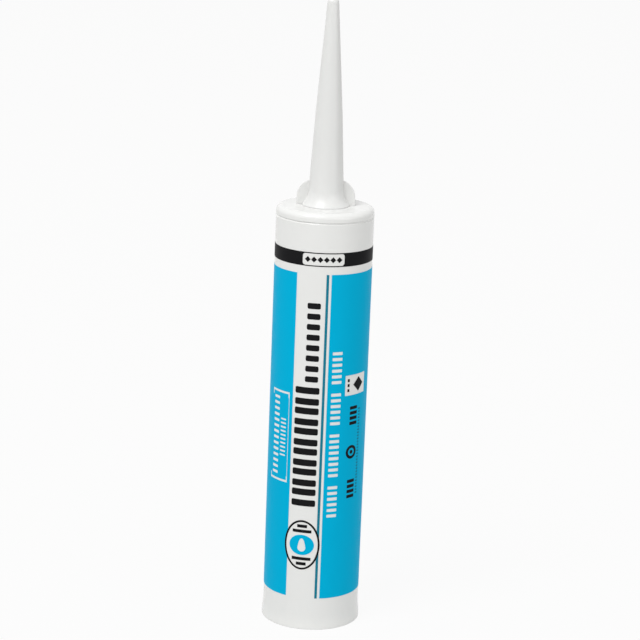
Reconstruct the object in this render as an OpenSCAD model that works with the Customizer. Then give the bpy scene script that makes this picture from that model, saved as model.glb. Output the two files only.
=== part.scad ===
// Caulk tube: a moulded sealant cartridge with its screw-on nozzle, its sealant and the
// plunger that pushes it out. Millimetres, +Z up, standing on the rear rim at z = 0.
// The front is -Y, and angles round the tube are from the front, positive to the right.

/* [Barrel] */
// Outside diameter of the tube's wall
barrel_d = 49.5; // [42:0.5:60]
// Height of the flat shoulder above the rear rim
barrel_h = 218; // [212:0.5:240]
// Thickness of the tube's wall
wall_t = 1.4; // [1:0.1:2]
// Thickness of the flat shoulder
shoulder_t = 2.2; // [1.6:0.1:3]
// Rounding of the shoulder's outer edge
shoulder_round = 3.1; // [2.5:0.1:4]
// How far the rear rim stands out from the wall
rim_flare = 0.6; // [0.2:0.1:1]
// Height of the straight foot of the rear rim
rim_foot = 2; // [1:0.5:3]
// Chamfer round the bottom of the rear rim
rim_chamfer = 0.4; // [0.2:0.1:0.8]
// Height at which the rim has run out into the wall
rim_h = 7.5; // [6:0.5:10]
// Radius of the groove that runs round below the shoulder
groove_round = 0.5; // [0.4:0.05:0.7]
// Depth of that groove
groove_depth = 0.45; // [0.2:0.05:0.6]
// Distance of that groove below the shoulder's top
groove_drop = 4.9; // [4.5:0.1:6]

/* [Spout] */
// Outside diameter of the spout at the root of its thread
spout_d = 13.4; // [12:0.1:14]
// Height of the spout above the shoulder
spout_h = 12; // [10:0.5:14]
// Thickness of the spout's wall
spout_wall = 1.7; // [1.2:0.1:2.4]
// Thickness of the skin that closes the spout until it is cut
seal_t = 0.9; // [0.6:0.1:1.4]
// How far the thread stands out from the spout
thread_depth = 0.6; // [0.4:0.05:0.7]
// Distance from one turn of the thread to the next
thread_pitch = 2.6; // [2.4:0.1:3.2]

/* [Nozzle] */
// Length of the nozzle from its foot to its closed tip
nozzle_len = 103.9; // [90:0.1:130]
// Diameter of the flared foot
nozzle_foot_d = 24; // [22:0.2:26]
// Thickness of the flared foot at its edge
nozzle_foot_t = 0.3; // [0.2:0.1:1]
// Height above the foot at which the flare has run out into the shank
flare_h = 8; // [4:0.1:10]
// Diameter of the nozzle just above the flare
nozzle_shank_d = 17.6; // [17.5:0.1:19]
// Height above the foot at which the taper grows steeper
nozzle_knee_h = 47.1; // [35:0.1:60]
// Diameter of the nozzle where the taper grows steeper
nozzle_knee_d = 13.4; // [12:0.1:14.5]
// Diameter of the nozzle where its round tip begins
nozzle_tip_d = 5.8; // [5:0.1:7]
// Thickness of the nozzle's wall
nozzle_wall = 1.2; // [1:0.05:1.4]
// Thickness of plastic that closes the tip
nozzle_tip_t = 2.4; // [1.5:0.1:4]
// Number of grip wings round the foot
wing_count = 2; // [2:1:6]
// Distance from the axis to the edge of each grip wing
wing_reach = 14.7; // [13.5:0.1:18]
// Height of each wing above the foot
wing_h = 13; // [10:0.1:20]
// Rounding of each wing's outer corner
wing_round = 9; // [3:0.5:9]
// Thickness of each wing
wing_t = 1.3; // [0.8:0.1:2]

/* [Plunger] */
// Height of the plunger
plunger_h = 22; // [18:0.5:26]
// Distance from the rear rim to the plunger
plunger_recess = 18.5; // [10:0.5:30]
// Thickness of the plunger's face
plunger_face_t = 1.8; // [1.2:0.1:3]
// Thickness of the plunger's skirt
plunger_skirt_t = 1.3; // [1:0.1:2]
// How far the sealing lips stand out from the skirt
lip_reach = 0.7; // [0.4:0.05:1]
// Height of each sealing lip
lip_h = 2.4; // [1.5:0.1:4]

/* [Print] */
// Thickness of the ink
ink_t = 0.12; // [0.08:0.01:0.2]
// Angle of the bare stripe's middle
stripe_angle = -13.25; // [-60:0.25:60]
// Width of the bare stripe, round the wall
stripe_w = 15.3; // [14:0.1:18]
// Width of the dark line beside the stripe
line_w = 1.3; // [0.8:0.1:2]
// Bare gap between the dark line and the blue field
line_gap = 1.3; // [0.8:0.1:2]
// Height of the blue field's lower edge
field_z = 17; // [12:0.5:22]
// Bare gap between the blue field and the black band
field_gap = 4; // [2:0.5:8]
// Height of the black band
band_h = 7; // [5.5:0.5:9]
// Distance of the black band below the shoulder's top
band_drop = 19.5; // [8:0.5:24]
// Width of the bare window in the black band
window_w = 21.4; // [15:0.1:26]
// Black left above and below that window
window_edge = 0.5; // [0.3:0.1:1]
// Rounding of the window's corners
window_round = 1.4; // [0.5:0.1:2]
// Angle of the window's middle
window_angle = 0.25; // [-60:0.25:60]

/* [Stripe marks] */
// Width of the large bars across the stripe
title_w = 12.5; // [8:0.1:13.5]
// Bare gap between the roundel and the large bars
title_gap = 7; // [3:0.5:12]
// Height of one large bar
title_bar_h = 3.4; // [2.5:0.1:3.6]
// Gap between the two large bars of a pair
title_bar_gap = 2.4; // [1:0.1:2.6]
// Distance from one pair of large bars to the next
title_pitch = 10.7; // [9.5:0.1:10.9]
// Width of the small bars across the stripe
subtitle_w = 6.7; // [4:0.1:9]
// How far the small bars lie right of the stripe's middle
subtitle_shift = 2; // [0:0.1:2.5]
// Bare gap between the large bars and the small ones
subtitle_gap = 2.8; // [1:0.1:6]
// Distance of the small bars below the blue field's upper edge
subtitle_drop = 14.7; // [8:0.1:20]
// Height of one small bar
subtitle_bar_h = 3; // [2:0.1:4]
// Number of small bars
subtitle_bars = 8; // [2:1:9]
// Distance from one small bar to the next
subtitle_pitch = 5.4; // [5:0.1:5.8]
// Rounding of the bars' corners
bar_round = 0.8; // [0.3:0.1:1]

/* [Roundel] */
// Width of the roundel
roundel_w = 18.8; // [15:0.1:20]
// Height of the roundel
roundel_h = 26.6; // [24:0.1:28]
// Distance of the roundel above the blue field's lower edge
roundel_rise = 15.3; // [8:0.1:20]
// Width of the roundel's black outline
roundel_line = 0.8; // [0.4:0.1:1]
// Width of the blue disc in the roundel
disc_w = 13; // [8:0.1:14]
// Height of the blue disc in the roundel
disc_h = 10.8; // [8:0.1:13]
// Height of each black bar above and below the disc
roundel_bar_h = 1.6; // [1:0.1:2]
// Distance from one of those bars to the next
roundel_bar_pitch = 2.7; // [2.4:0.1:3.4]
// Bare gap between the disc and the nearest bar
roundel_bar_gap = 1.2; // [0.6:0.1:2]
// Bare gap between the outline and the ends of the bars
roundel_bar_end = 1.3; // [0.8:0.1:2]
// Diameter of the bare drop in the disc
drop_d = 4.2; // [3:0.1:5]
// Height of the drop's point above the middle of its round body
drop_h = 5; // [4:0.1:6]

/* [Side plate] */
// Angle of the bare plate's middle
plate_angle = 50; // [36:1:120]
// Distance of the bare plate below the blue field's upper edge
plate_drop = 52.5; // [10:0.5:100]
// Width of the bare plate
plate_w = 14.9; // [8:0.1:18]
// Height of the bare plate
plate_h = 10.6; // [6:0.1:14]

/* [Fits] */
// Clearance between the plunger's lips and the bore
lip_clearance = 0.08; // [0.03:0.01:0.1]
// Clearance between the thread and the nozzle's socket
socket_clearance = 0.25; // [0.2:0.05:0.3]
// Gap between the nozzle's foot and the shoulder
seat_gap = 0.05; // [0.05:0.05:0.3]
// Gap round the sealant
fill_gap = 0.2; // [0.1:0.05:0.3]

/* [Hidden] */
$fn = 96;
white_plastic = [0.90, 0.90, 0.89];
natural_plastic = [0.93, 0.93, 0.90];
clear_paste = [0.88, 0.89, 0.88];
blue_ink = [0.0, 0.65, 0.85];
navy_ink = [0.06, 0.42, 0.58];
black_ink = [0.13, 0.13, 0.13];
barrel_r = barrel_d / 2;
bore_r = barrel_r - wall_t;
rim_r = barrel_r + rim_flare;
chamber_top = barrel_h - shoulder_t;
chamber_round = shoulder_round - wall_t;
groove_z = barrel_h - groove_drop;
spout_r = spout_d / 2;
spout_bore_r = spout_r - spout_wall;
crest_r = spout_r + thread_depth;
thread_turns = floor(spout_h / thread_pitch) - 1;
ridge_root_h = thread_pitch * 0.64;
ridge_crest_h = thread_pitch * 0.2;
nozzle_z = barrel_h + seat_gap;
nozzle_tip_r = nozzle_tip_d / 2;
nozzle_shank_r = nozzle_shank_d / 2;
nozzle_knee_r = nozzle_knee_d / 2;
nozzle_foot_r = nozzle_foot_d / 2;
flare_reach = nozzle_foot_r - nozzle_shank_r;
flare_rise = flare_h - nozzle_foot_t;
flare_round = (flare_reach * flare_reach + flare_rise * flare_rise) / (2 * flare_reach);
socket_r = crest_r + socket_clearance;
socket_h = spout_h + socket_clearance;
lip_r = bore_r - lip_clearance;
skirt_r = lip_r - lip_reach;
plunger_round = chamber_round + lip_reach;
plunger_top = plunger_recess + plunger_h;
band_z = barrel_h - band_drop - band_h;
field_top = band_z - field_gap;
field_h = field_top - field_z;
roundel_z = field_z + roundel_rise + roundel_h / 2;
subtitle_top = field_top - subtitle_drop;
subtitle_z = subtitle_top - subtitle_bar_h - (subtitle_bars - 1) * subtitle_pitch;
title_top = subtitle_z - subtitle_gap;
title_pair_h = 2 * title_bar_h + title_bar_gap;
title_bottom = roundel_z + roundel_h / 2 + title_gap;
title_pairs = floor((title_top - title_bottom - title_pair_h) / title_pitch) + 1;
title_z = title_top - title_pair_h - (title_pairs - 1) * title_pitch;
plate_z = field_top - plate_drop - plate_h / 2;
overlap = 0.1;
oval_points = 60;
stripe_from = stripe_angle - degrees_of(stripe_w) / 2;
line_from = stripe_angle + degrees_of(stripe_w) / 2;
line_to = line_from + degrees_of(line_w);
field_from = line_to + degrees_of(line_gap);

// Degrees that a length takes up round the wall
function degrees_of(length) = length / barrel_r * 180 / PI;

// Radius of the lower taper at a height above the foot
function shank_r_at(z) = nozzle_shank_r
    + (nozzle_knee_r - nozzle_shank_r) * (z - flare_h) / (nozzle_knee_h - flare_h);

// Points of an oval with its middle at the origin
function oval(w, h) =
    [for (i = [0:oval_points - 1])
        [w / 2 * cos(i * 360 / oval_points), h / 2 * sin(i * 360 / oval_points)]];

// Half section of a disc w in radius and h high, with its upper edge rounded
module rounded_top(w, h, round) {
    square([w - round, h]);
    square([w, h - round]);
    intersection() {
        translate([w - round, h - round]) circle(r = round);
        square([w, h]);
    }
}

// Rectangle with round corners and its middle at the origin
module plate(w, h, round) {
    square([w - 2 * round, h], center = true);
    square([w, h - 2 * round], center = true);
    for (x = [-1, 1], y = [-1, 1])
        translate([x * (w / 2 - round), y * (h / 2 - round)]) circle(r = round);
}

// Barrel, moulded in one piece with its shoulder, rear rim and closed spout
module barrel() {
    color(white_plastic)
    rotate_extrude()
    difference() {
        union() {
            rim_section();
            translate([0, rim_h - overlap])
                rounded_top(barrel_r, barrel_h - rim_h + overlap, shoulder_round);
            square([spout_r, barrel_h + spout_h]);
            for (i = [0:thread_turns - 1])
                translate([0, barrel_h + thread_pitch * (i + 1)]) thread_section();
        }
        translate([0, -overlap])
            rounded_top(bore_r, chamber_top + overlap, chamber_round);
        square([spout_bore_r, barrel_h + spout_h - seal_t]);
        translate([barrel_r + groove_round - groove_depth, groove_z])
            circle(r = groove_round);
    }
}

// Rear rim: a straight foot that runs out into the wall
module rim_section() {
    polygon([
        [0, 0], [rim_r - rim_chamfer, 0], [rim_r, rim_chamfer], [rim_r, rim_foot],
        [barrel_r, rim_h], [0, rim_h]
    ]);
}

// One turn of the spout's coarse thread, as a ridge that runs straight round
module thread_section() {
    polygon([
        [0, -ridge_root_h / 2], [spout_r, -ridge_root_h / 2],
        [crest_r, -ridge_crest_h / 2], [crest_r, ridge_crest_h / 2],
        [spout_r, ridge_root_h / 2], [0, ridge_root_h / 2]
    ]);
}

// Nozzle, moulded in one piece: flared foot, two tapers, closed round tip and thin grip wings
module nozzle() {
    color(white_plastic)
    translate([0, 0, nozzle_z])
    difference() {
        union() {
            rotate_extrude() nozzle_outer_section();
            for (i = [0:wing_count - 1]) rotate([0, 0, i * 360 / wing_count]) wing();
        }
        rotate_extrude() nozzle_inner_section();
    }
}

// Outside of the nozzle, from its foot to its tip
module nozzle_outer_section() {
    difference() {
        square([nozzle_foot_r, flare_h]);
        translate([nozzle_shank_r + flare_round, flare_h]) circle(r = flare_round);
    }
    polygon([
        [0, flare_h - overlap], [nozzle_shank_r, flare_h - overlap],
        [nozzle_shank_r, flare_h], [nozzle_knee_r, nozzle_knee_h],
        [nozzle_tip_r, nozzle_len - nozzle_tip_r], [0, nozzle_len - nozzle_tip_r]
    ]);
    intersection() {
        translate([0, nozzle_len - nozzle_tip_r]) circle(r = nozzle_tip_r);
        translate([0, nozzle_len - nozzle_tip_r - overlap])
            square([nozzle_tip_r, nozzle_tip_r + overlap]);
    }
}

// Inside of the nozzle: the socket for the spout, a small ledge, and the passage to the tip
module nozzle_inner_section() {
    polygon([
        [0, -overlap], [socket_r, -overlap], [socket_r, socket_h],
        [shank_r_at(socket_h) - nozzle_wall, socket_h],
        [nozzle_knee_r - nozzle_wall, nozzle_knee_h],
        [nozzle_tip_r - nozzle_wall, nozzle_len - nozzle_tip_t - nozzle_wall],
        [0, nozzle_len - nozzle_tip_t]
    ]);
}

// One grip wing: a thin upright plate with a large round corner, rooted in the shank
module wing() {
    rotate([90, 0, 0])
    translate([0, 0, -wing_t / 2])
    linear_extrude(wing_t)
    rounded_top(wing_reach, wing_h, wing_round);
}

// Plunger, a cup that opens to the rear, with two sealing lips
module plunger() {
    color(natural_plastic)
    translate([0, 0, plunger_recess])
    rotate_extrude()
    difference() {
        union() {
            rounded_top(skirt_r, plunger_h, plunger_round);
            for (z = [0, plunger_h - plunger_round - lip_h])
                translate([0, z]) lip_section();
        }
        translate([0, -overlap])
            rounded_top(skirt_r - plunger_skirt_t, plunger_h - plunger_face_t + overlap,
                        plunger_round);
    }
}

// One sealing lip, with its straight edge to the rear
module lip_section() {
    polygon([
        [0, 0], [lip_r, 0], [lip_r, lip_h / 2], [skirt_r, lip_h], [0, lip_h]
    ]);
}

// Sealant, which fills the barrel from the plunger up into the spout
module sealant() {
    color(clear_paste)
    rotate_extrude() {
        intersection() {
            rounded_top(bore_r - fill_gap, chamber_top - fill_gap, chamber_round);
            translate([0, plunger_top + fill_gap]) square([bore_r, barrel_h]);
        }
        translate([0, chamber_top - 2 * fill_gap])
            square([spout_bore_r - fill_gap,
                    shoulder_t + spout_h - seal_t + fill_gap]);
    }
}

// A slice of the height of the barrel, from the axis out past the ink, between two angles
module slice(from_angle, to_angle) {
    reach = (barrel_r + ink_t) / cos((to_angle - from_angle) / 2) + overlap;
    linear_extrude(barrel_h)
    polygon([
        [0, 0],
        [reach * sin(from_angle), -reach * cos(from_angle)],
        [reach * sin(to_angle), -reach * cos(to_angle)]
    ]);
}

// Ink all the way round the wall, up from height z
module ink_ring(z, h) {
    rotate_extrude() translate([barrel_r, z]) square([ink_t, h]);
}

// A flat shape, pushed straight out from the axis at an angle and a height
module stamp(angle, z) {
    rotate([0, 0, angle])
    translate([0, 0, z])
    rotate([90, 0, 0])
    linear_extrude(barrel_r + ink_t + overlap) children();
}

// Ink in the form of a flat shape that is wrapped on the wall
module printed(angle, z) {
    intersection() {
        ink_ring(rim_h, groove_z - rim_h);
        stamp(angle, z) children();
    }
}

// Outline of the whole roundel, which the field and the line leave free
module roundel_outline() {
    polygon(oval(roundel_w, roundel_h));
}

// Blue field, from the dark line round the back to the stripe
module blue_field() {
    color(blue_ink)
    difference() {
        ink_ring(field_z, field_h);
        slice(stripe_from, field_from);
        stamp(stripe_angle, roundel_z) roundel_outline();
        stamp(plate_angle, plate_z) square([plate_w, plate_h], center = true);
    }
}

// Dark line down the right of the stripe
module navy_line() {
    color(navy_ink)
    difference() {
        intersection() {
            ink_ring(field_z, field_h);
            slice(line_from, line_to);
        }
        stamp(stripe_angle, roundel_z) roundel_outline();
    }
}

// Black band round the tube below the shoulder, with a bare window in front
module black_band() {
    color(black_ink)
    difference() {
        ink_ring(band_z, band_h);
        stamp(window_angle, band_z + band_h / 2)
            plate(window_w, band_h - 2 * window_edge, window_round);
    }
}

// Black bars up the stripe: large ones in pairs, then a row of small ones
module stripe_bars() {
    color(black_ink) {
        for (i = [0:title_pairs - 1], j = [0, 1])
            printed(stripe_angle, title_z + title_bar_h / 2
                    + i * title_pitch + j * (title_bar_h + title_bar_gap))
                plate(title_w, title_bar_h, bar_round);
        for (i = [0:subtitle_bars - 1])
            printed(stripe_angle + degrees_of(subtitle_shift),
                    subtitle_z + subtitle_bar_h / 2 + i * subtitle_pitch)
                plate(subtitle_w, subtitle_bar_h, bar_round);
    }
}

// Black part of the roundel: its outline, and two bars above the disc and two below
module roundel_ring() {
    color(black_ink)
    printed(stripe_angle, roundel_z) {
        difference() {
            roundel_outline();
            polygon(oval(roundel_w - 2 * roundel_line, roundel_h - 2 * roundel_line));
        }
        for (i = [0, 1], side = [-1, 1])
            roundel_bar(disc_h / 2 + roundel_bar_gap + roundel_bar_h / 2
                        + i * roundel_bar_pitch, side);
    }
}

// One bar at a distance above or below the middle, as wide as the outline leaves it room
module roundel_bar(rise, side) {
    inner_w = roundel_w / 2 - roundel_line;
    inner_h = roundel_h / 2 - roundel_line;
    half_w = inner_w * sqrt(1 - pow((rise + roundel_bar_h / 2) / inner_h, 2)) - roundel_bar_end;
    translate([0, side * rise]) square([2 * half_w, roundel_bar_h], center = true);
}

// Blue disc in the roundel, with a bare drop in it
module roundel_disc() {
    color(blue_ink)
    printed(stripe_angle, roundel_z)
    difference() {
        polygon(oval(disc_w, disc_h));
        translate([0, (drop_d / 2 - drop_h) / 2]) drop();
    }
}

// A drop: a round body, and straight sides that leave it smoothly and meet in a point
module drop() {
    side = acos(drop_d / 2 / drop_h);
    circle(d = drop_d);
    polygon([
        [-drop_d / 2 * sin(side), drop_d / 2 * cos(side)],
        [drop_d / 2 * sin(side), drop_d / 2 * cos(side)],
        [0, drop_h]
    ]);
}

barrel();
nozzle();
plunger();
sealant();
blue_field();
navy_line();
black_band();
stripe_bars();
roundel_ring();
roundel_disc();
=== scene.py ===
import math

import bpy
from mathutils import Matrix, Vector


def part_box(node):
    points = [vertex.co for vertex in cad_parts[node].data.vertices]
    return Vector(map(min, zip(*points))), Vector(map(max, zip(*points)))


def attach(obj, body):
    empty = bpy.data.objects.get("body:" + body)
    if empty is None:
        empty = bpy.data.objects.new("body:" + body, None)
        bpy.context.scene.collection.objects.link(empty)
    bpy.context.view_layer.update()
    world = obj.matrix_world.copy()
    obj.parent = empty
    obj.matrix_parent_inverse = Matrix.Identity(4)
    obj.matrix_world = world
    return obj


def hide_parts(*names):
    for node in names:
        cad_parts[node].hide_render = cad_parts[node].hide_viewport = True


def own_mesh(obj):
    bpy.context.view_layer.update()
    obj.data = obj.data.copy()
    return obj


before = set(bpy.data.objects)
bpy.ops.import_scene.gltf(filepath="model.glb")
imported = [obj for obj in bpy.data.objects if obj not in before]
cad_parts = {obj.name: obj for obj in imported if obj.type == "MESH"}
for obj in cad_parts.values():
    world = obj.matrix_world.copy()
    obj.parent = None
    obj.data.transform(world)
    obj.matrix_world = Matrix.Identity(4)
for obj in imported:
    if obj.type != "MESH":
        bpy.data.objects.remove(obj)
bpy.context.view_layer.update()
MM = 0.001

# Camera
# It stands a little over a metre in front of the tube and looks down on it by 14 degrees.
# It leans to its side, because the tube stands tilted in the photograph's frame.
CAMERA_PLACE = (0, -1.11914, 0.43994)
CAMERA_DOWN = math.radians(14.13)
CAMERA_LEAN = math.radians(2.2)
CAMERA_TURN = math.radians(0.03)
CAMERA_LENS = 127.635
CAMERA_SENSOR = 36
CAMERA_FAR = 60

camera_turning = (Matrix.Rotation(CAMERA_TURN, 3, "Z")
                  @ Matrix.Rotation(math.pi / 2 - CAMERA_DOWN, 3, "X")
                  @ Matrix.Rotation(CAMERA_LEAN, 3, "Z"))
bpy.ops.object.select_all(action="DESELECT")
bpy.ops.object.camera_add(location=CAMERA_PLACE, rotation=camera_turning.to_euler())
camera = bpy.context.object
camera.data.lens = CAMERA_LENS
camera.data.sensor_width = CAMERA_SENSOR
camera.data.clip_end = CAMERA_FAR
bpy.context.scene.camera = camera
bpy.context.scene.view_settings.view_transform = "Standard"

# Studio floor
# A large matt sheet of pale board that fills the view and takes the tube's soft shadow.
# The camera sees most of it as plain white, so that no lamp has to burn it out.
FLOOR_SIZE = 24
FLOOR_TONE = (0.63, 0.63, 0.62, 1)
FLOOR_WHITE = 0.93


def seen_directly(nodes, links):
    """A factor of 1 for what the camera, a mirror or a clear piece sees, and 0 for plain light."""
    path = nodes.new("ShaderNodeLightPath")
    mirrored = nodes.new("ShaderNodeMath")
    mirrored.operation = "ADD"
    links.new(path.outputs["Is Camera Ray"], mirrored.inputs[0])
    links.new(path.outputs["Is Glossy Ray"], mirrored.inputs[1])
    seen = nodes.new("ShaderNodeMath")
    seen.operation = "ADD"
    seen.use_clamp = True
    links.new(mirrored.outputs[0], seen.inputs[0])
    links.new(path.outputs["Is Transmission Ray"], seen.inputs[1])
    return seen.outputs[0]


board = bpy.data.materials.new("pale_board")
board.use_nodes = True
board_nodes, board_links = board.node_tree.nodes, board.node_tree.links
board_nodes.clear()
board_matt = board_nodes.new("ShaderNodeBsdfDiffuse")
board_matt.inputs["Color"].default_value = FLOOR_TONE
board_white = board_nodes.new("ShaderNodeEmission")
board_share = board_nodes.new("ShaderNodeMath")
board_share.operation = "MULTIPLY"
board_share.inputs[1].default_value = FLOOR_WHITE
board_links.new(seen_directly(board_nodes, board_links), board_share.inputs[0])
board_mix = board_nodes.new("ShaderNodeMixShader")
board_links.new(board_share.outputs[0], board_mix.inputs["Fac"])
board_links.new(board_matt.outputs[0], board_mix.inputs[1])
board_links.new(board_white.outputs[0], board_mix.inputs[2])
board_out = board_nodes.new("ShaderNodeOutputMaterial")
board_links.new(board_mix.outputs[0], board_out.inputs["Surface"])

bpy.ops.object.select_all(action="DESELECT")
bpy.ops.mesh.primitive_plane_add(size=FLOOR_SIZE, location=(0, 0, 0))
floor = bpy.context.object
floor.name = "studio_floor"
floor.data.materials.append(board)

# Studio light
# A broad soft box hangs up to the left in front of the tube, a weak one low on the right lifts the
# shaded side, and a pale room fills the rest. The room is plain white where the camera sees it.
KEY_PLACE = Vector((-1.4, -1.75, 3.3))
KEY_AIM = Vector((0, 0, 0.14))
KEY_SIZE = 1.8
KEY_POWER = 95
FILL_PLACE = Vector((1.9, -1.5, 0.5))
FILL_AIM = Vector((0, 0, 0.04))
FILL_SIZE = 1.2
FILL_POWER = 10
ROOM_LIGHT = 0.66
ROOM_WHITE = (0.975, 0.975, 0.975, 1)


def soft_box(name, place, aim, size, power):
    """A square soft box that looks at the point it is aimed at."""
    bpy.ops.object.select_all(action="DESELECT")
    bpy.ops.object.light_add(type="AREA", location=place)
    lamp = bpy.context.object
    lamp.name = name
    lamp.rotation_euler = (aim - place).to_track_quat("-Z", "Y").to_euler()
    lamp.data.shape = "SQUARE"
    lamp.data.size = size
    lamp.data.energy = power


soft_box("key_box", KEY_PLACE, KEY_AIM, KEY_SIZE, KEY_POWER)
soft_box("fill_box", FILL_PLACE, FILL_AIM, FILL_SIZE, FILL_POWER)

room = bpy.data.worlds.new("pale_room")
bpy.context.scene.world = room
room.use_nodes = True
room_nodes, room_links = room.node_tree.nodes, room.node_tree.links
room_nodes.clear()
room_fill = room_nodes.new("ShaderNodeBackground")
room_fill.inputs["Strength"].default_value = ROOM_LIGHT
room_white = room_nodes.new("ShaderNodeBackground")
room_white.inputs["Color"].default_value = ROOM_WHITE
room_mix = room_nodes.new("ShaderNodeMixShader")
room_links.new(seen_directly(room_nodes, room_links), room_mix.inputs["Fac"])
room_links.new(room_fill.outputs[0], room_mix.inputs[1])
room_links.new(room_white.outputs[0], room_mix.inputs[2])
room_out = room_nodes.new("ShaderNodeOutputWorld")
room_links.new(room_mix.outputs[0], room_out.inputs["Surface"])

# Barrel
# The tube's body is one moulding of white polyethylene: a thin wall with a rim round its open
# rear, a fine groove below the rounded shoulder, and a spout that stays shut until it is cut.
TURN_STEPS = 192
WELD = 0.002 * MM
EASED_STEPS = 4
EASED_FROM = math.radians(20)
EASED_SHARE = 0.45
SHARP_FROM = 35
WALL_R = 24.75 * MM
BORE_R = 23.35 * MM
SHOULDER_Z = 218 * MM
SHOULDER_T = 2.2 * MM
SHOULDER_ROUND = 3.1 * MM
SHOULDER_END = 5
SHOULDER_STEPS = 14
CHAMBER_ROUND = 1.7 * MM
CHAMBER_STEPS = 8
RIM_FOOT = 2 * MM
RIM_TOP = 7.5 * MM
GROOVE_Z = 213.1 * MM
GROOVE_R = 0.5 * MM
GROOVE_DEEP = 0.45 * MM
GROOVE_STEPS = 10
SPOUT_R = 6.7 * MM
SPOUT_BORE_R = 5 * MM
SPOUT_SKIN = 0.9 * MM
BARREL_CORNER = 0.3 * MM


def arc(centre, radius, start, stop, steps):
    """Points of (radius, height) along an arc, from one angle to another in degrees."""
    angles = [math.radians(start + (stop - start) * i / steps) for i in range(steps + 1)]
    return [(centre[0] + radius * math.cos(a), centre[1] + radius * math.sin(a)) for a in angles]


def eased(outline, radius):
    """The outline with its sharp corners rounded off, as a round mould cutter leaves them."""
    points = [outline[0]]
    for before, corner, after in zip(outline, outline[1:], outline[2:]):
        into, out = Vector(before) - Vector(corner), Vector(after) - Vector(corner)
        turn = math.pi - into.angle(out)
        if turn < EASED_FROM:
            points.append(corner)
            continue
        cut = min(radius * math.tan(turn / 2), into.length * EASED_SHARE, out.length * EASED_SHARE)
        start = Vector(corner) + into.normalized() * cut
        end = Vector(corner) + out.normalized() * cut
        for step in range(EASED_STEPS + 1):
            t = step / EASED_STEPS
            points.append(tuple(start * (1 - t) ** 2 + Vector(corner) * 2 * t * (1 - t) + end * t ** 2))
    points.append(outline[-1])
    return points


def turned(name, outline):
    """The closed shape that an outline of (radius, height) points makes round the axis."""
    bpy.ops.object.select_all(action="DESELECT")
    bpy.ops.mesh.primitive_plane_add(size=1 * MM)
    piece = bpy.context.object
    piece.name = name
    bpy.ops.object.mode_set(mode="EDIT")
    bpy.ops.mesh.merge(type="CENTER")
    bpy.ops.transform.translate(value=(outline[0][0], 0, outline[0][1]))
    for (r0, z0), (r1, z1) in zip(outline, outline[1:]):
        bpy.ops.mesh.extrude_region_move(TRANSFORM_OT_translate={"value": (r1 - r0, 0, z1 - z0)})
    bpy.ops.mesh.select_all(action="SELECT")
    bpy.ops.mesh.spin(steps=TURN_STEPS, angle=math.tau, center=(0, 0, 0), axis=(0, 0, 1))
    bpy.ops.mesh.select_all(action="SELECT")
    bpy.ops.mesh.remove_doubles(threshold=WELD)
    bpy.ops.mesh.normals_make_consistent(inside=False)
    bpy.ops.object.mode_set(mode="OBJECT")
    return piece


def smoothed(piece, degrees):
    """The piece shaded smooth, with its sharper edges kept and its large faces left plain."""
    bpy.ops.object.select_all(action="DESELECT")
    piece.select_set(True)
    bpy.context.view_layer.objects.active = piece
    bpy.ops.object.shade_smooth_by_angle(angle=math.radians(degrees))
    weighing = piece.modifiers.new("weighing", "WEIGHTED_NORMAL")
    weighing.keep_sharp = True
    bpy.ops.object.modifier_apply(modifier=weighing.name)


barrel_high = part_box("barrel")[1]
rim_r = barrel_high.x
spout_top = barrel_high.z
chamber_top = SHOULDER_Z - SHOULDER_T
groove_centre = (WALL_R + GROOVE_R - GROOVE_DEEP, GROOVE_Z)
groove_edge = math.degrees(math.acos((GROOVE_DEEP - GROOVE_R) / GROOVE_R))
barrel_outside = (
    [(0, spout_top), (SPOUT_R, spout_top), (SPOUT_R, SHOULDER_Z)]
    + arc((WALL_R - SHOULDER_ROUND, SHOULDER_Z - SHOULDER_ROUND), SHOULDER_ROUND,
          90, SHOULDER_END, SHOULDER_STEPS)
    + arc(groove_centre, GROOVE_R, groove_edge, 360 - groove_edge, GROOVE_STEPS)
    + [(WALL_R, RIM_TOP), (rim_r, RIM_FOOT), (rim_r, 0)]
)
barrel_inside = (
    [(BORE_R, 0)]
    + arc((BORE_R - CHAMBER_ROUND, chamber_top - CHAMBER_ROUND), CHAMBER_ROUND, 0, 90, CHAMBER_STEPS)
    + [(SPOUT_BORE_R, chamber_top), (SPOUT_BORE_R, spout_top - SPOUT_SKIN), (0, spout_top - SPOUT_SKIN)]
)
barrel = turned("barrel_shell", eased(barrel_outside + barrel_inside, BARREL_CORNER))

ROUGH_LESS = 0.04
ROUGH_MORE = 0.05


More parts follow.
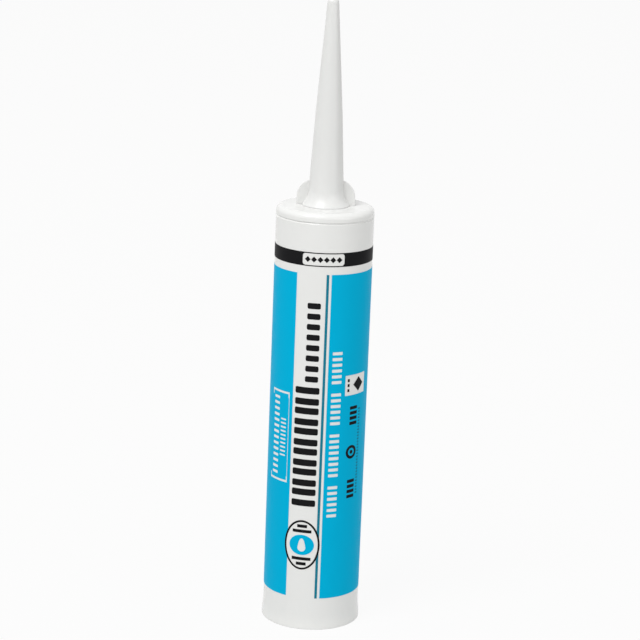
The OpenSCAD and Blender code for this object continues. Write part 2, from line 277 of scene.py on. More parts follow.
def plastic(name, tone, tint, rough, glow, glow_depth):
    """Moulded polyethylene: satin, faintly clouded, with a fine mould grain and a little inner glow."""
    material = bpy.data.materials.new(name)
    material.use_nodes = True
    nodes, links = material.node_tree.nodes, material.node_tree.links
    shader = nodes["Principled BSDF"]
    shader.inputs["Subsurface Weight"].default_value = glow
    shader.inputs["Subsurface Radius"].default_value = (1, 1, 1)
    shader.inputs["Subsurface Scale"].default_value = glow_depth
    shader.inputs["IOR"].default_value = 1.5
    place = nodes.new("ShaderNodeTexCoord")
    clouds = nodes.new("ShaderNodeTexNoise")
    clouds.inputs["Scale"].default_value = 55
    clouds.inputs["Detail"].default_value = 4
    links.new(place.outputs["Object"], clouds.inputs["Vector"])
    colour = nodes.new("ShaderNodeMix")
    colour.data_type = "RGBA"
    colour.inputs["A"].default_value = tone
    colour.inputs["B"].default_value = tint
    links.new(clouds.outputs["Fac"], colour.inputs["Factor"])
    links.new(colour.outputs["Result"], shader.inputs["Base Color"])
    gloss = nodes.new("ShaderNodeMapRange")
    gloss.inputs["From Min"].default_value = 0.3
    gloss.inputs["From Max"].default_value = 0.7
    gloss.inputs["To Min"].default_value = rough - ROUGH_LESS
    gloss.inputs["To Max"].default_value = rough + ROUGH_MORE
    links.new(clouds.outputs["Fac"], gloss.inputs["Value"])
    links.new(gloss.outputs["Result"], shader.inputs["Roughness"])
    grain = nodes.new("ShaderNodeTexNoise")
    grain.inputs["Scale"].default_value = 2200
    grain.inputs["Detail"].default_value = 3
    links.new(place.outputs["Object"], grain.inputs["Vector"])
    relief = nodes.new("ShaderNodeBump")
    relief.inputs["Strength"].default_value = 0.12
    relief.inputs["Distance"].default_value = 0.03 * MM
    links.new(grain.outputs["Fac"], relief.inputs["Height"])
    links.new(relief.outputs["Normal"], shader.inputs["Normal"])
    return material


WHITE = (0.825, 0.827, 0.812, 1)
WHITE_CLOUD = (0.81, 0.813, 0.80, 1)
white_plastic = plastic("white_polyethylene", WHITE, WHITE_CLOUD,
                        rough=0.20, glow=0.15, glow_depth=1.5 * MM)

# Thread on the spout
# The spout carries a coarse helical thread that the nozzle is screwed on to. It is moulded with
# the barrel, so it is made as a ridge that runs out at both ends and is then fused with the spout.
THREAD_DEEP = 0.6 * MM
THREAD_ROOT = 0.3 * MM
THREAD_PITCH = 2.6 * MM
THREAD_FOOT_H = 1.66 * MM
THREAD_CREST_H = 0.52 * MM
THREAD_TURNS = 2.5
THREAD_STEPS = 240
THREAD_LOW = 2 * MM
THREAD_FADE = 0.1
THREAD_END = 0.1


def fused(piece, tool, operation):
    """The piece after the tool has been joined to it or cut out of it, which uses the tool up."""
    change = piece.modifiers.new("shape", "BOOLEAN")
    change.operation = operation
    change.solver = "EXACT"
    change.object = tool
    bpy.ops.object.select_all(action="DESELECT")
    piece.select_set(True)
    bpy.context.view_layer.objects.active = piece
    bpy.ops.object.modifier_apply(modifier=change.name)
    bpy.data.objects.remove(tool)


bpy.ops.object.select_all(action="DESELECT")
bpy.ops.mesh.primitive_plane_add(size=1)
thread = bpy.context.object
thread.name = "thread_ridge"
thread_corners = [
    (SPOUT_R - THREAD_ROOT, -THREAD_FOOT_H / 2), (SPOUT_R + THREAD_DEEP, -THREAD_CREST_H / 2),
    (SPOUT_R - THREAD_ROOT, THREAD_FOOT_H / 2), (SPOUT_R + THREAD_DEEP, THREAD_CREST_H / 2),
]
for vertex, (r, z) in zip(thread.data.vertices, thread_corners):
    vertex.co = (r, 0, SHOULDER_Z + THREAD_LOW + z)
winding = thread.modifiers.new("winding", "SCREW")
winding.angle = math.tau * THREAD_TURNS
winding.screw_offset = THREAD_PITCH * THREAD_TURNS
winding.steps = THREAD_STEPS
winding.render_steps = THREAD_STEPS
bpy.ops.object.modifier_apply(modifier=winding.name)
bpy.ops.object.mode_set(mode="EDIT")
bpy.ops.mesh.select_all(action="DESELECT")
bpy.ops.mesh.select_mode(type="VERT")
bpy.ops.mesh.select_non_manifold(extend=False)
bpy.ops.mesh.fill_holes(sides=len(thread_corners))
bpy.ops.mesh.select_all(action="SELECT")
bpy.ops.mesh.normals_make_consistent(inside=False)
bpy.ops.object.mode_set(mode="OBJECT")
for index, vertex in enumerate(thread.data.vertices):
    along = index // len(thread_corners) / THREAD_STEPS
    height = max(THREAD_END, min(1, along / THREAD_FADE, (1 - along) / THREAD_FADE))
    radius = math.hypot(vertex.co.x, vertex.co.y)
    root = SPOUT_R - THREAD_ROOT
    share = (root + (radius - root) * math.sin(height * math.pi / 2)) / radius
    vertex.co.x *= share
    vertex.co.y *= share

fused(barrel, thread, "UNION")
smoothed(barrel, SHARP_FROM)
barrel.data.materials.append(white_plastic)
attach(barrel, "barrel")
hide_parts("barrel")

# Sealant
# The tube is filled with a clear silicone paste, from the plunger up into the spout.
# It takes its shape from the wall, and it gets a mesh of its own.
FILL_R = 23.15 * MM
FILL_SPOUT_R = 4.8 * MM
FILL_TOP = 215.6 * MM
FILL_CORNER = 0.4 * MM
SILICONE = (0.80, 0.81, 0.80, 1)
SILICONE_STREAK = (0.70, 0.72, 0.71, 1)

sealant_low, sealant_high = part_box("sealant")
sealant = turned("sealant_fill", eased(
    [(0, FILL_TOP)]
    + arc((FILL_R - CHAMBER_ROUND, FILL_TOP - CHAMBER_ROUND), CHAMBER_ROUND, 90, 0, CHAMBER_STEPS)
    + [(FILL_R, sealant_low.z), (0, sealant_low.z)], FILL_CORNER))
column = turned("sealant_in_spout", eased(
    [(0, sealant_high.z), (FILL_SPOUT_R, sealant_high.z), (FILL_SPOUT_R, FILL_TOP), (0, FILL_TOP)],
    FILL_CORNER))


def sealant_paste():
    """Clear silicone paste: soft and wet, milky in depth, with a few cloudy streaks."""
    material = bpy.data.materials.new("silicone_paste")
    material.use_nodes = True
    nodes, links = material.node_tree.nodes, material.node_tree.links
    shader = nodes["Principled BSDF"]
    shader.inputs["Roughness"].default_value = 0.22
    shader.inputs["Subsurface Weight"].default_value = 0.6
    shader.inputs["Subsurface Radius"].default_value = (1, 1, 1)
    shader.inputs["Subsurface Scale"].default_value = 5 * MM
    shader.inputs["Transmission Weight"].default_value = 0.3
    shader.inputs["IOR"].default_value = 1.41
    place = nodes.new("ShaderNodeTexCoord")
    streaks = nodes.new("ShaderNodeTexNoise")
    streaks.inputs["Scale"].default_value = 90
    streaks.inputs["Distortion"].default_value = 1.5
    links.new(place.outputs["Object"], streaks.inputs["Vector"])
    colour = nodes.new("ShaderNodeMix")
    colour.data_type = "RGBA"
    colour.inputs["A"].default_value = SILICONE
    colour.inputs["B"].default_value = SILICONE_STREAK
    links.new(streaks.outputs["Fac"], colour.inputs["Factor"])
    links.new(colour.outputs["Result"], shader.inputs["Base Color"])
    relief = nodes.new("ShaderNodeBump")
    relief.inputs["Strength"].default_value = 0.3
    relief.inputs["Distance"].default_value = 0.3 * MM
    links.new(streaks.outputs["Fac"], relief.inputs["Height"])
    links.new(relief.outputs["Normal"], shader.inputs["Normal"])
    return material


silicone = sealant_paste()
for piece in (sealant, column):
    smoothed(piece, SHARP_FROM)
    piece.data.materials.append(silicone)
    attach(piece, "barrel")
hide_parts("sealant")
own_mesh(sealant)

# Plunger
# A cup of natural polyethylene that is pressed into the open rear, its open side out, so that the
# gun's plate goes into it. Two thin lips round it wipe the wall.
LIP_R = 23.27 * MM
LIP_REACH = 0.7 * MM
LIP_H = 2.4 * MM
LIP_DROP = 0.1 * MM
SKIRT_T = 1.3 * MM
FACE_T = 1.8 * MM
PLUNGER_ROUND = 2.4 * MM
PLUNGER_STEPS = 10
PLUNGER_CORNER = 0.25 * MM

plunger_low, plunger_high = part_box("plunger")
skirt_r = LIP_R - LIP_REACH
cup_r = skirt_r - SKIRT_T
cup_top = plunger_high.z - FACE_T
upper_lip = plunger_high.z - PLUNGER_ROUND - LIP_H
plunger = turned("plunger_cup", eased(
    [(0, plunger_high.z)]
    + arc((skirt_r - PLUNGER_ROUND, plunger_high.z - PLUNGER_ROUND), PLUNGER_ROUND, 90, 0, PLUNGER_STEPS)
    + [(skirt_r, upper_lip + LIP_H - LIP_DROP), (LIP_R, upper_lip + LIP_H / 2), (LIP_R, upper_lip)]
    + [(skirt_r, upper_lip), (skirt_r, plunger_low.z + LIP_H), (LIP_R, plunger_low.z + LIP_H / 2)]
    + [(LIP_R, plunger_low.z), (cup_r, plunger_low.z)]
    + arc((cup_r - PLUNGER_ROUND, cup_top - PLUNGER_ROUND), PLUNGER_ROUND, 0, 90, PLUNGER_STEPS)
    + [(0, cup_top)], PLUNGER_CORNER))
smoothed(plunger, SHARP_FROM)
NATURAL = (0.83, 0.83, 0.78, 1)
NATURAL_CLOUD = (0.79, 0.79, 0.75, 1)
natural_plastic = plastic("natural_polyethylene", NATURAL, NATURAL_CLOUD,
                          rough=0.36, glow=0.35, glow_depth=2 * MM)
plunger.data.materials.append(natural_plastic)
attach(plunger, "plunger")
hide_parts("plunger")

# Nozzle
# One moulding of white polyethylene, screwed on to the spout: a foot that flares over the
# shoulder, two tapers up to a closed round tip, and two thin wings to grip it by. It is hollow.
KNEE_Z = 47.1 * MM
KNEE_R = 6.7 * MM
SHANK_R = 8.8 * MM
TIP_R = 2.9 * MM
TIP_END = 4
TIP_STEPS = 12
TIP_T = 2.4 * MM
FOOT_R = 12 * MM
FOOT_T = 0.3 * MM
FLARE_H = 8 * MM
FLARE_STEPS = 16
SOCKET_R = 7.55 * MM
SOCKET_H = 12.25 * MM
NOZZLE_WALL = 1.2 * MM
NOZZLE_CORNER = 0.2 * MM
WINGS = 2
WING_H = 13 * MM
WING_T = 1.3 * MM
WING_ROUND = 9 * MM
WING_STEPS = 20
WING_EDGE = 0.3 * MM
WING_EDGE_STEPS = 3
WING_EDGE_FROM = math.radians(40)
NOZZLE_SHARP_FROM = 30
SPARE = 1 * MM

nozzle_low, nozzle_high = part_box("nozzle")
nozzle_length = nozzle_high.z - nozzle_low.z
wing_reach = nozzle_high.x
flare_reach = FOOT_R - SHANK_R
flare_rise = FLARE_H - FOOT_T
flare_round = (flare_reach ** 2 + flare_rise ** 2) / (2 * flare_reach)
flare_end = 180 + math.degrees(math.asin(flare_rise / flare_round))
ledge_r = SHANK_R + (KNEE_R - SHANK_R) * (SOCKET_H - FLARE_H) / (KNEE_Z - FLARE_H) - NOZZLE_WALL


def picked(piece, kind, test):
    """Edit mode, with only those edges or faces of the piece picked whose corners pass the test."""
    bpy.ops.object.mode_set(mode="EDIT")
    bpy.ops.mesh.select_mode(type=kind)
    bpy.ops.mesh.select_all(action="DESELECT")
    bpy.ops.object.mode_set(mode="OBJECT")
    for item in piece.data.edges if kind == "EDGE" else piece.data.polygons:
        item.select = test([piece.data.vertices[v].co for v in item.vertices])
    bpy.ops.object.mode_set(mode="EDIT")


def raised(outline, height):
    """The outline, moved up by the height."""
    return [(r, z + height) for r, z in outline]


nozzle_outside = (
    arc((0, nozzle_length - TIP_R), TIP_R, 90, TIP_END, TIP_STEPS) + [(KNEE_R, KNEE_Z)]
    + arc((SHANK_R + flare_round, FLARE_H), flare_round, 180, flare_end, FLARE_STEPS)
    + [(FOOT_R, -SPARE), (0, -SPARE)]
)
nozzle_inside = [
    (0, nozzle_length - TIP_T), (TIP_R - NOZZLE_WALL, nozzle_length - TIP_T - NOZZLE_WALL),
    (KNEE_R - NOZZLE_WALL, KNEE_Z), (ledge_r, SOCKET_H), (SOCKET_R, SOCKET_H),
    (SOCKET_R, -2 * SPARE), (0, -2 * SPARE),
]
nozzle = turned("nozzle_shell", eased(raised(nozzle_outside, nozzle_low.z), NOZZLE_CORNER))
passage = turned("nozzle_passage", eased(raised(nozzle_inside, nozzle_low.z), NOZZLE_CORNER))
wing_top = nozzle_low.z + WING_H
for i in range(WINGS):
    bpy.ops.object.select_all(action="DESELECT")
    bpy.ops.mesh.primitive_cube_add(size=1, scale=(wing_reach, WING_T, WING_H + SPARE))
    wing = bpy.context.object
    wing.location = (wing_reach / 2, 0, wing_top - (WING_H + SPARE) / 2)
    bpy.ops.object.transform_apply(location=True, rotation=True, scale=True)
    picked(wing, "EDGE", lambda ends: all(e.x > wing_reach / 2 and e.z > nozzle_low.z for e in ends))
    bpy.ops.mesh.bevel(offset=WING_ROUND, segments=WING_STEPS)
    bpy.ops.object.mode_set(mode="OBJECT")
    softening = wing.modifiers.new("softening", "BEVEL")
    softening.width = WING_EDGE
    softening.segments = WING_EDGE_STEPS
    softening.angle_limit = WING_EDGE_FROM
    bpy.ops.object.modifier_apply(modifier=softening.name)
    wing.rotation_euler.z = math.tau * i / WINGS
    bpy.ops.object.transform_apply(location=True, rotation=True, scale=True)
    fused(nozzle, wing, "UNION")
bpy.ops.object.mode_set(mode="EDIT")
bpy.ops.mesh.select_all(action="SELECT")
bpy.ops.mesh.bisect(plane_co=(0, 0, nozzle_low.z), plane_no=(0, 0, 1), use_fill=True, clear_inner=True)
bpy.ops.object.mode_set(mode="OBJECT")
fused(nozzle, passage, "DIFFERENCE")
smoothed(nozzle, NOZZLE_SHARP_FROM)
NOZZLE_WHITE = (0.78, 0.782, 0.77, 1)
NOZZLE_CLOUD = (0.76, 0.763, 0.752, 1)
nozzle_plastic = plastic("nozzle_polyethylene", NOZZLE_WHITE, NOZZLE_CLOUD,
                         rough=0.34, glow=0.3, glow_depth=1 * MM)
nozzle.data.materials.append(nozzle_plastic)
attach(nozzle, "nozzle")
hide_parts("nozzle")

# Blue field
# Ink is printed straight on the barrel's wall, and what is white on it is bare plastic. The blue
# runs from beside the dark line round the back to the stripe, with rows of marks left bare.
INK_T = 0.06 * MM
INK_SINK = 0.03 * MM
INK_SHARP_FROM = 30
COLUMN = math.radians(2) * WALL_R
GIRTH = math.tau * WALL_R
BLOCK_DEPTH = 2 * MM
BLOCK_STEPS = 5
OVAL_STEPS = 72
STRIPE_X = math.radians(-13.25) * WALL_R
STRIPE_W = 15.3 * MM
LINE_W = 1.3 * MM
LINE_GAP = 1.3 * MM
ROUNDEL_W = 18.8 * MM
ROUNDEL_H = 26.6 * MM
PLATE_X = math.radians(50) * WALL_R
PLATE_Z = 129.7 * MM
PLATE_W = 14.9 * MM
PLATE_H = 10.6 * MM
WORD_X = math.radians(21.3) * WALL_R
WORD_BAR_W = 5.3 * MM
WORD_BAR_H = 1.6 * MM
WORD_PITCH = 3 * MM
WORD_ROUND = 0.3 * MM
WORDS = ((61.5 * MM, 6), (83 * MM, 8), (110.5 * MM, 6), (132 * MM, 6))
FRAME_X = math.radians(-50.5) * WALL_R + GIRTH
FRAME_W = 13 * MM
FRAME_LOW = 78 * MM
FRAME_HIGH = 124.5 * MM
FRAME_LINE = 1.1 * MM
FRAME_SIDE_LINE = 0.35 * MM
FRAME_RETURN = 2.6 * MM
FRAME_RETURN_LINE = 0.7 * MM
LONG_ROW_X = FRAME_X - 2.4 * MM
LONG_ROW_LOW = 81.5 * MM
LONG_ROW_BARS = 14
LONG_ROW_PITCH = 3.05 * MM
LONG_BAR_W = 4.4 * MM
LONG_BAR_H = 1.4 * MM
LONG_BAR_ROUND = 0.3 * MM
SHORT_ROW_X = FRAME_X + 2.9 * MM
SHORT_ROW_LOW = 91.5 * MM
SHORT_ROW_BARS = 10
SHORT_ROW_PITCH = 2.1 * MM
SHORT_BAR_W = 3.6 * MM
SHORT_BAR_H = 0.85 * MM
SHORT_BAR_ROUND = 0.25 * MM


def sheet(name, left, right, low, high, lift=0):
    """A thin flat sheet of ink, x along the wall and z up it, in columns narrow enough to wrap."""
    columns = max(2, math.ceil((right - left) / COLUMN))
    bpy.ops.object.select_all(action="DESELECT")
    bpy.ops.mesh.primitive_grid_add(x_subdivisions=columns, y_subdivisions=1, size=1)
    piece = bpy.context.object
    piece.name = name
    piece.scale = (right - left, high - low, 1)
    piece.rotation_euler.x = math.pi / 2
    piece.location = ((left + right) / 2, INK_SINK - lift, (low + high) / 2)
    bpy.ops.object.transform_apply(location=True, rotation=True, scale=True)
    thickening = piece.modifiers.new("thickening", "SOLIDIFY")
    thickening.thickness = INK_T + INK_SINK
    thickening.offset = 1
    bpy.ops.object.modifier_apply(modifier=thickening.name)
    return piece


def block(x, z, width, height, corner=0, turn=0):
    """A deep upright block that marks a rectangle on the flat ink, with its corners rounded."""
    bpy.ops.object.select_all(action="DESELECT")
    bpy.ops.mesh.primitive_cube_add(size=1, scale=(width, BLOCK_DEPTH, height))
    piece = bpy.context.object
    bpy.ops.object.transform_apply(location=True, rotation=True, scale=True)
    if corner:
        picked(piece, "EDGE", lambda ends: ends[0].y != ends[1].y)
        bpy.ops.mesh.bevel(offset=corner, segments=BLOCK_STEPS)
        bpy.ops.object.mode_set(mode="OBJECT")
    piece.rotation_euler.y = turn
    piece.location = (x, 0, z)
    bpy.ops.object.transform_apply(location=True, rotation=True, scale=True)
    return piece


def row(x, low, count, pitch, width, height, corner=0):
    """Blocks of one size in a row up the wall, which starts at the first one's middle."""
    return [block(x, low + i * pitch, width, height, corner) for i in range(count)]


def oval(x, z, width, height):
    """A deep upright block that marks an oval on the flat ink."""
    bpy.ops.object.select_all(action="DESELECT")
    bpy.ops.mesh.primitive_cylinder_add(
        vertices=OVAL_STEPS, radius=0.5, depth=BLOCK_DEPTH, scale=(width, height, 1))
    piece = bpy.context.object
    bpy.ops.object.transform_apply(location=True, rotation=True, scale=True)
    piece.rotation_euler.x = math.pi / 2
    piece.location = (x, 0, z)
    bpy.ops.object.transform_apply(location=True, rotation=True, scale=True)
    return piece


def together(pieces):
    """The pieces as one."""
    bpy.ops.object.select_all(action="DESELECT")
    for piece in pieces:
        piece.select_set(True)
    bpy.context.view_layer.objects.active = pieces[0]
    if len(pieces) > 1:
        bpy.ops.object.join()
    return pieces[0]


def wrapped(piece):
    """The flat ink laid round the barrel's wall."""
    for vertex in piece.data.vertices:
        angle = vertex.co.x / WALL_R
        radius = WALL_R - vertex.co.y
        vertex.co.x = radius * math.sin(angle)
        vertex.co.y = -radius * math.cos(angle)
    smoothed(piece, INK_SHARP_FROM)


field_low, field_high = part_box("blue_field")
roundel_low, roundel_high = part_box("roundel_ring")
roundel_z = (roundel_low.z + roundel_high.z) / 2
line_left = STRIPE_X + STRIPE_W / 2
field_left = line_left + LINE_W + LINE_GAP
field_right = STRIPE_X - STRIPE_W / 2 + GIRTH
blue = sheet("blue_print", field_left, field_right, field_low.z, field_high.z)
bare = [oval(STRIPE_X + GIRTH, roundel_z, ROUNDEL_W, ROUNDEL_H)]
bare.append(block(PLATE_X, PLATE_Z, PLATE_W, PLATE_H))
for low, count in WORDS:
    bare += row(WORD_X, low, count, WORD_PITCH, WORD_BAR_W, WORD_BAR_H, WORD_ROUND)
frame_mid = (FRAME_LOW + FRAME_HIGH) / 2
bare += [block(FRAME_X, z, FRAME_W, FRAME_LINE) for z in (FRAME_LOW, FRAME_HIGH)]
bare.append(block(FRAME_X + (FRAME_W - FRAME_SIDE_LINE) / 2, frame_mid, FRAME_SIDE_LINE,
                  FRAME_HIGH - FRAME_LOW - FRAME_RETURN))
bare += row(LONG_ROW_X, LONG_ROW_LOW, LONG_ROW_BARS, LONG_ROW_PITCH,
            LONG_BAR_W, LONG_BAR_H, LONG_BAR_ROUND)
bare += row(SHORT_ROW_X, SHORT_ROW_LOW, SHORT_ROW_BARS, SHORT_ROW_PITCH,
            SHORT_BAR_W, SHORT_BAR_H, SHORT_BAR_ROUND)
fused(blue, together(bare), "DIFFERENCE")
returns = [block(FRAME_X + side * (FRAME_W - FRAME_RETURN_LINE) / 2, z + inward * FRAME_RETURN / 2,
                 FRAME_RETURN_LINE, FRAME_RETURN)
           for side in (-1, 1) for z, inward in ((FRAME_LOW, 1), (FRAME_HIGH, -1))]
fused(blue, together(returns), "DIFFERENCE")
wrapped(blue)

INK_ROUGH_SPREAD = 0.05


def ink(name, tone, tint, rough):
    """Printing ink: thin and satin, with faint mottling where it took unevenly on the plastic."""
    material = bpy.data.materials.new(name)
    material.use_nodes = True
    nodes, links = material.node_tree.nodes, material.node_tree.links
    shader = nodes["Principled BSDF"]
    shader.inputs["Specular IOR Level"].default_value = 0.03
    place = nodes.new("ShaderNodeTexCoord")
    mottling = nodes.new("ShaderNodeTexNoise")
    mottling.inputs["Scale"].default_value = 160
    mottling.inputs["Detail"].default_value = 5
    links.new(place.outputs["Object"], mottling.inputs["Vector"])
    colour = nodes.new("ShaderNodeMix")
    colour.data_type = "RGBA"
    colour.inputs["A"].default_value = tone
    colour.inputs["B"].default_value = tint
    links.new(mottling.outputs["Fac"], colour.inputs["Factor"])
    links.new(colour.outputs["Result"], shader.inputs["Base Color"])
    gloss = nodes.new("ShaderNodeMapRange")
    gloss.inputs["From Min"].default_value = 0.3
    gloss.inputs["From Max"].default_value = 0.7
    gloss.inputs["To Min"].default_value = rough - INK_ROUGH_SPREAD
    gloss.inputs["To Max"].default_value = rough + INK_ROUGH_SPREAD
    links.new(mottling.outputs["Fac"], gloss.inputs["Value"])
    links.new(gloss.outputs["Result"], shader.inputs["Roughness"])
    grain = nodes.new("ShaderNodeTexNoise")
    grain.inputs["Scale"].default_value = 2600
    links.new(place.outputs["Object"], grain.inputs["Vector"])
    relief = nodes.new("ShaderNodeBump")
    relief.inputs["Strength"].default_value = 0.1
    relief.inputs["Distance"].default_value = 0.02 * MM
    links.new(grain.outputs["Fac"], relief.inputs["Height"])
    links.new(relief.outputs["Normal"], shader.inputs["Normal"])
    return material


BLUE = (0.0, 0.43, 0.70, 1)
BLUE_MOTTLE = (0.0, 0.45, 0.73, 1)
blue_ink = ink("blue_ink", BLUE, BLUE_MOTTLE, rough=0.45)
blue.data.materials.append(blue_ink)
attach(blue, "barrel")
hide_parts("blue_field")

# Dark line
# A thin line of navy ink runs down the right of the bare stripe and stops at the roundel.
# It is printed in the same pass as the blue, with a bare gap between the two.
NAVY = (0.012, 0.19, 0.285, 1)
NAVY_MOTTLE = (0.014, 0.21, 0.30, 1)

navy = sheet("navy_print", line_left, line_left + LINE_W, field_low.z, field_high.z)
fused(navy, oval(STRIPE_X, roundel_z, ROUNDEL_W, ROUNDEL_H), "DIFFERENCE")
wrapped(navy)
navy.data.materials.append(ink("navy_ink", NAVY, NAVY_MOTTLE, rough=0.45))
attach(navy, "barrel")
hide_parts("navy_line")

# Black band
# A band of black ink runs right round below the shoulder. Its front has a bare window with round
# corners, and a row of small black lozenges stands in that.
WINDOW_X = math.radians(0.25) * WALL_R
WINDOW_W = 21.4 * MM
WINDOW_EDGE = 0.5 * MM
WINDOW_ROUND = 1.4 * MM
LOZENGES = 6
LOZENGE_PITCH = 3.2 * MM
LOZENGE_SIDE = 2.1 * MM
ON_POINT = math.pi / 4
SEAM = 0.01 * MM
BLACK = (0.009, 0.009, 0.01, 1)
BLACK_MOTTLE = (0.013, 0.013, 0.014, 1)

band_low, band_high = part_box("black_band")
band_z = (band_low.z + band_high.z) / 2
band = sheet("band_print", -GIRTH / 2, GIRTH / 2, band_low.z, band_high.z)
window_h = band_high.z - band_low.z - 2 * WINDOW_EDGE
fused(band, block(WINDOW_X, band_z, WINDOW_W, window_h, WINDOW_ROUND), "DIFFERENCE")
picked(band, "FACE", lambda corners: all(abs(abs(c.x) - GIRTH / 2) < SEAM for c in corners))
bpy.ops.mesh.delete(type="FACE")
bpy.ops.object.mode_set(mode="OBJECT")
wrapped(band)
bpy.ops.object.mode_set(mode="EDIT")
bpy.ops.mesh.select_all(action="SELECT")
bpy.ops.mesh.remove_doubles(threshold=WELD)
bpy.ops.object.mode_set(mode="OBJECT")
smoothed(band, INK_SHARP_FROM)
window_edges = (WINDOW_X - WINDOW_W / 2, WINDOW_X + WINDOW_W / 2, band_low.z, band_high.z)
lozenge_row = sheet("lozenge_row", *window_edges)
lozenges = []
for i in range(LOZENGES):
    lozenge_x = WINDOW_X + (i - (LOZENGES - 1) / 2) * LOZENGE_PITCH
    lozenges.append(block(lozenge_x, band_z, LOZENGE_SIDE, LOZENGE_SIDE, turn=ON_POINT))
fused(lozenge_row, together(lozenges), "INTERSECT")
wrapped(lozenge_row)
band = together([band, lozenge_row])
black_ink = ink("black_ink", BLACK, BLACK_MOTTLE, rough=0.42)
band.data.materials.append(black_ink)
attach(band, "barrel")
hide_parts("black_band")

# Bars on the stripe
# Black bars are printed up the bare stripe: large ones in pairs, then a row of smaller ones.
# They are of the band's ink, laid straight on the white plastic of the wall.
TITLE_W = 12.5 * MM
TITLE_H = 3.4 * MM
TITLE_STEP = 5.8 * MM
TITLE_PITCH = 10.7 * MM
TITLE_PAIRS = 6
SUBTITLE_X = STRIPE_X + 2 * MM
SUBTITLE_W = 6.7 * MM
SUBTITLE_H = 3 * MM
SUBTITLE_PITCH = 5.4 * MM
SUBTITLE_BARS = 8
BAR_ROUND = 0.8 * MM

bars_low, bars_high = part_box("stripe_bars")
stripe_edges = (STRIPE_X - STRIPE_W / 2, STRIPE_X + STRIPE_W / 2, bars_low.z, bars_high.z)
title = sheet("title_print", *stripe_edges)
title_low = bars_low.z + TITLE_H / 2
subtitle_low = bars_high.z - SUBTITLE_H / 2 - (SUBTITLE_BARS - 1) * SUBTITLE_PITCH
bars = row(STRIPE_X, title_low, TITLE_PAIRS, TITLE_PITCH, TITLE_W, TITLE_H, BAR_ROUND)
bars += row(STRIPE_X, title_low + TITLE_STEP, TITLE_PAIRS, TITLE_PITCH, TITLE_W, TITLE_H, BAR_ROUND)
bars += row(SUBTITLE_X, subtitle_low, SUBTITLE_BARS, SUBTITLE_PITCH, SUBTITLE_W, SUBTITLE_H, BAR_ROUND)
fused(title, together(bars), "INTERSECT")
wrapped(title)
title.data.materials.append(black_ink)
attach(title, "barrel")
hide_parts("stripe_bars")

# Roundel
# An oval outline of black ink low on the stripe, round a blue disc between pairs of black bars.
# The rest is bare white plastic, and so is a drop that the blue ink leaves open in the disc.
ROUNDEL_LINE = 1 * MM
DISC_W = 13 * MM
DISC_H = 10.8 * MM
ROUNDEL_BAR_PAIRS = 2
ROUNDEL_BAR_H = 1.6 * MM
ROUNDEL_BAR_PITCH = 2.7 * MM
ROUNDEL_BAR_GAP = 1.2 * MM
ROUNDEL_BAR_END = 1.3 * MM
DROP_R = 2.1 * MM
DROP_H = 5 * MM
DROP_SHOULDER = 0.4

roundel_edges = (STRIPE_X - ROUNDEL_W / 2, STRIPE_X + ROUNDEL_W / 2, roundel_low.z, roundel_high.z)
ring = sheet("roundel_ring_print", *roundel_edges)
fused(ring, oval(STRIPE_X, roundel_z, ROUNDEL_W, ROUNDEL_H), "INTERSECT")
inside_w = ROUNDEL_W - 2 * ROUNDEL_LINE
inside_h = ROUNDEL_H - 2 * ROUNDEL_LINE
fused(ring, oval(STRIPE_X, roundel_z, inside_w, inside_h), "DIFFERENCE")
wrapped(ring)
ring_bars = sheet("roundel_bars", *roundel_edges)
bars = []
for i in range(ROUNDEL_BAR_PAIRS):
    height = DISC_H / 2 + ROUNDEL_BAR_GAP + ROUNDEL_BAR_H / 2 + i * ROUNDEL_BAR_PITCH
    rise = (height + ROUNDEL_BAR_H / 2) / (inside_h / 2)
    width = inside_w * math.sqrt(1 - rise ** 2) - 2 * ROUNDEL_BAR_END
    bars += [block(STRIPE_X, roundel_z + side * height, width, ROUNDEL_BAR_H) for side in (1, -1)]
fused(ring_bars, together(bars), "INTERSECT")
wrapped(ring_bars)
ring = together([ring, ring_bars])
ring.data.materials.append(black_ink)
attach(ring, "barrel")
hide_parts("roundel_ring")

disc = sheet("roundel_disc_print", *roundel_edges)
fused(disc, oval(STRIPE_X, roundel_z, DISC_W, DISC_H), "INTERSECT")
drop_z = roundel_z + (DROP_R - DROP_H) / 2
drop = oval(STRIPE_X, drop_z, 2 * DROP_R, 2 * DROP_R)
drop_shoulder = DROP_R * DROP_SHOULDER
drop_stretch = (DROP_H - drop_shoulder) / (DROP_R - drop_shoulder)
for vertex in drop.data.vertices:
    above = vertex.co.z - drop_z - drop_shoulder
    if above > 0:
        vertex.co.z = drop_z + drop_shoulder + above * drop_stretch
fused(disc, drop, "DIFFERENCE")
wrapped(disc)
disc.data.materials.append(blue_ink)
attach(disc, "barrel")
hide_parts("roundel_disc")

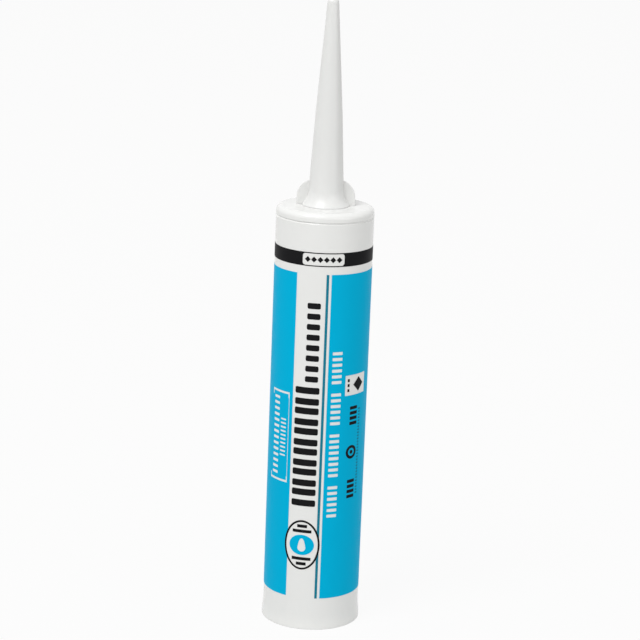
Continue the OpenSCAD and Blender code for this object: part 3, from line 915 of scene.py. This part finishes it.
# Small marks
# A second pass of black ink puts small plain marks on the blue at the right: two groups of bars, a
# ring with a dot, and a line of dashes. Three small squares and a lozenge stand on the bare plate.
MARK_LIFT = 0.03 * MM
MARK_X = math.radians(47) * WALL_R
MARK_LOWS = (70.5 * MM, 109.5 * MM)
MARK_BARS = 4
MARK_PITCH = 2.7 * MM
MARK_W = 5.2 * MM
MARK_H = 1.7 * MM
MARK_ROUND = 0.3 * MM
DASH_X = math.radians(57.5) * WALL_R
DASH_LOW = 71.5 * MM
DASHES = 29
DASH_PITCH = 1.6 * MM
DASH_W = 1.3 * MM
DASH_H = 0.5 * MM
RING_X = MARK_X - 0.6 * MM
RING_Z = 94.2 * MM
RING_D = 7.2 * MM
RING_HOLE_D = 4.2 * MM
RING_DOT_D = 2 * MM
SQUARE_X = PLATE_X - 5.4 * MM
SQUARES = 3
SQUARE_PITCH = 2.6 * MM
SQUARE_W = 1.2 * MM
SQUARE_H = 1.5 * MM
PLATE_LOZENGE_X = PLATE_X + 1.6 * MM
PLATE_LOZENGE_SIDE = 5.4 * MM

mark_edges = (field_left, PLATE_X + PLATE_W, field_low.z, field_high.z)
marks = sheet("small_marks_print", *mark_edges, MARK_LIFT)
blocks = []
for low in MARK_LOWS:
    blocks += row(MARK_X, low, MARK_BARS, MARK_PITCH, MARK_W, MARK_H, MARK_ROUND)
blocks += row(DASH_X, DASH_LOW, DASHES, DASH_PITCH, DASH_W, DASH_H)
square_low = PLATE_Z - (SQUARES - 1) / 2 * SQUARE_PITCH
blocks += row(SQUARE_X, square_low, SQUARES, SQUARE_PITCH, SQUARE_W, SQUARE_H)
fused(marks, together(blocks), "INTERSECT")
ring_mark = sheet("ring_mark", *mark_edges, MARK_LIFT)
fused(ring_mark, oval(RING_X, RING_Z, RING_D, RING_D), "INTERSECT")
fused(ring_mark, oval(RING_X, RING_Z, RING_HOLE_D, RING_HOLE_D), "DIFFERENCE")
dot_mark = sheet("dot_mark", *mark_edges, MARK_LIFT)
fused(dot_mark, oval(RING_X, RING_Z, RING_DOT_D, RING_DOT_D), "INTERSECT")
plate_lozenge = sheet("plate_lozenge", *mark_edges)
lozenge_block = block(PLATE_LOZENGE_X, PLATE_Z, PLATE_LOZENGE_SIDE, PLATE_LOZENGE_SIDE, turn=ON_POINT)
fused(plate_lozenge, lozenge_block, "INTERSECT")
for piece in (marks, ring_mark, dot_mark, plate_lozenge):
    wrapped(piece)
marks = together([marks, ring_mark, dot_mark, plate_lozenge])
marks.data.materials.append(black_ink)
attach(marks, "barrel")
